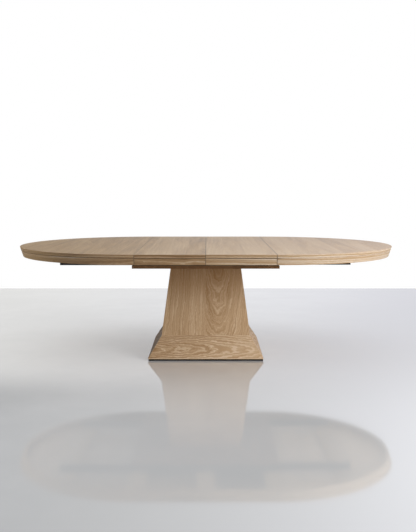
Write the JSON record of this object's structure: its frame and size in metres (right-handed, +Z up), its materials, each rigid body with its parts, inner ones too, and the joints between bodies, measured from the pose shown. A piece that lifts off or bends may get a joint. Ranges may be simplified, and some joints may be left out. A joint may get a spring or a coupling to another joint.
{
  "type": "extending pedestal dining table",
  "caption": "Round-ended oak dining table on a square tapered pedestal with a flared plinth; the halves slide apart on geared runners to take drop-in leaves.",
  "frame": {"origin": "on the floor under the middle of the pedestal", "axes": "+X along the table, +Y to the rear, +Z up"},
  "size_m": [2.699, 1.7988, 0.775],
  "materials": {
    "oak_top": "pale matt lacquered oak, grain across the table",
    "oak_edge": "pale matt lacquered oak, grain along the edge",
    "oak_column": "pale matt lacquered oak, grain upright",
    "oak_plinth": "pale matt lacquered oak, grain level",
    "brown_board": "stained board with a banded edge",
    "plain_wood": "sawn and planed, unfinished",
    "black_wood": "matt black paint",
    "black_metal": "black anodised extrusion",
    "steel": "zinc plated",
    "black_nylon": "moulded"
  },
  "bodies": {
    "pedestal": {"column_front_panel": "oak_column", "column_right_panel": "oak_column", "column_rear_panel": "oak_column", "column_left_panel": "oak_column", "plinth_front_panel": "oak_plinth", "plinth_right_panel": "oak_plinth", "plinth_rear_panel": "oak_plinth", "plinth_left_panel": "oak_plinth", "subtop_board": "brown_board", "column_corner_posts": "plain_wood", "column_top_board": "plain_wood", "column_inner_shelf": "plain_wood", "plinth_top_board": "plain_wood", "plinth_base_board": "plain_wood", "toe_kick": "black_wood", "front_slide_guide": "black_metal", "rear_slide_guide": "black_metal", "pinion_stud": "steel", "pedestal_bolts": "steel", "guide_screws": "steel", "foot_inserts": "steel", "rack_guide_blocks": "black_nylon"},
    "left_half": {"left_top_panel": "oak_top", "left_apron": "oak_edge", "left_cleats": "plain_wood", "left_rack": "steel", "left_alignment_pins": "steel", "left_half_screws": "steel", "left_front_runner": "black_metal", "left_rear_runner": "black_metal"},
    "left_leaf": {"left_leaf_panel": "oak_top", "left_leaf_front_apron": "oak_edge", "left_leaf_rear_apron": "oak_edge", "left_leaf_cleats": "plain_wood", "left_leaf_keepers": "black_nylon", "left_leaf_pads": "black_nylon"},
    "right_half": {"right_top_panel": "oak_top", "right_apron": "oak_edge", "right_cleats": "plain_wood", "right_rack": "steel", "right_alignment_pins": "steel", "right_half_screws": "steel", "right_front_runner": "black_metal", "right_rear_runner": "black_metal"},
    "right_leaf": {"right_leaf_panel": "oak_top", "right_leaf_front_apron": "oak_edge", "right_leaf_rear_apron": "oak_edge", "right_leaf_cleats": "plain_wood", "right_leaf_keepers": "black_nylon", "right_leaf_pads": "black_nylon"},
    "pinion": {"equalizer_pinion": "steel"},
    "left_front_latch_arm": {"left_front_latch": "steel"},
    "foot_front_left_body": {"foot_front_left": "black_nylon"},
    "left_rear_latch_arm": {"left_rear_latch": "steel"},
    "foot_rear_left_body": {"foot_rear_left": "black_nylon"},
    "right_front_latch_arm": {"right_front_latch": "steel"},
    "foot_front_right_body": {"foot_front_right": "black_nylon"},
    "right_rear_latch_arm": {"right_rear_latch": "steel"},
    "foot_rear_right_body": {"foot_rear_right": "black_nylon"}
  },
  "joints": [
    {"name": "left_half_slide", "type": "slide", "parent": "pedestal", "child": "left_half", "axis": [-1, 0, 0], "range_m": [0, 0.05]},
    {"name": "right_half_slide", "type": "slide", "parent": "pedestal", "child": "right_half", "axis": [1, 0, 0], "range_m": [0, 0.05]},
    {"name": "pinion_turn", "type": "hinge", "parent": "pedestal", "child": "pinion", "pos_m": [0, 0, 0.686], "axis": [0, 0, 1], "range_deg": [0, 96]},
    {"name": "left_leaf_lift", "type": "slide", "parent": "pedestal", "child": "left_leaf", "axis": [0, 0, 1], "range_m": [0, 0.3]},
    {"name": "right_leaf_lift", "type": "slide", "parent": "pedestal", "child": "right_leaf", "axis": [0, 0, 1], "range_m": [0, 0.3]},
    {"name": "left_front_latch_swing", "type": "hinge", "parent": "left_half", "child": "left_front_latch_arm", "pos_m": [-0.4803, -0.2, 0.716], "axis": [0, 0, 1], "range_deg": [0, 90]},
    {"name": "left_rear_latch_swing", "type": "hinge", "parent": "left_half", "child": "left_rear_latch_arm", "pos_m": [-0.4803, 0.2, 0.716], "axis": [0, 0, -1], "range_deg": [0, 90]},
    {"name": "right_front_latch_swing", "type": "hinge", "parent": "right_half", "child": "right_front_latch_arm", "pos_m": [0.4803, -0.2, 0.716], "axis": [0, 0, -1], "range_deg": [0, 90]},
    {"name": "right_rear_latch_swing", "type": "hinge", "parent": "right_half", "child": "right_rear_latch_arm", "pos_m": [0.4803, 0.2, 0.716], "axis": [0, 0, 1], "range_deg": [0, 90]},
    {"name": "foot_front_left_level", "type": "slide", "parent": "pedestal", "child": "foot_front_left_body", "axis": [0, 0, -1], "range_m": [0, 0.012]},
    {"name": "foot_rear_left_level", "type": "slide", "parent": "pedestal", "child": "foot_rear_left_body", "axis": [0, 0, -1], "range_m": [0, 0.012]},
    {"name": "foot_front_right_level", "type": "slide", "parent": "pedestal", "child": "foot_front_right_body", "axis": [0, 0, -1], "range_m": [0, 0.012]},
    {"name": "foot_rear_right_level", "type": "slide", "parent": "pedestal", "child": "foot_rear_right_body", "axis": [0, 0, -1], "range_m": [0, 0.012]}
  ],
  "couplings": [
    {"joint": "right_half_slide", "follows": "left_half_slide", "ratio": 1},
    {"joint": "pinion_turn", "follows": "left_half_slide", "rad_per_m": 33.333}
  ]
}
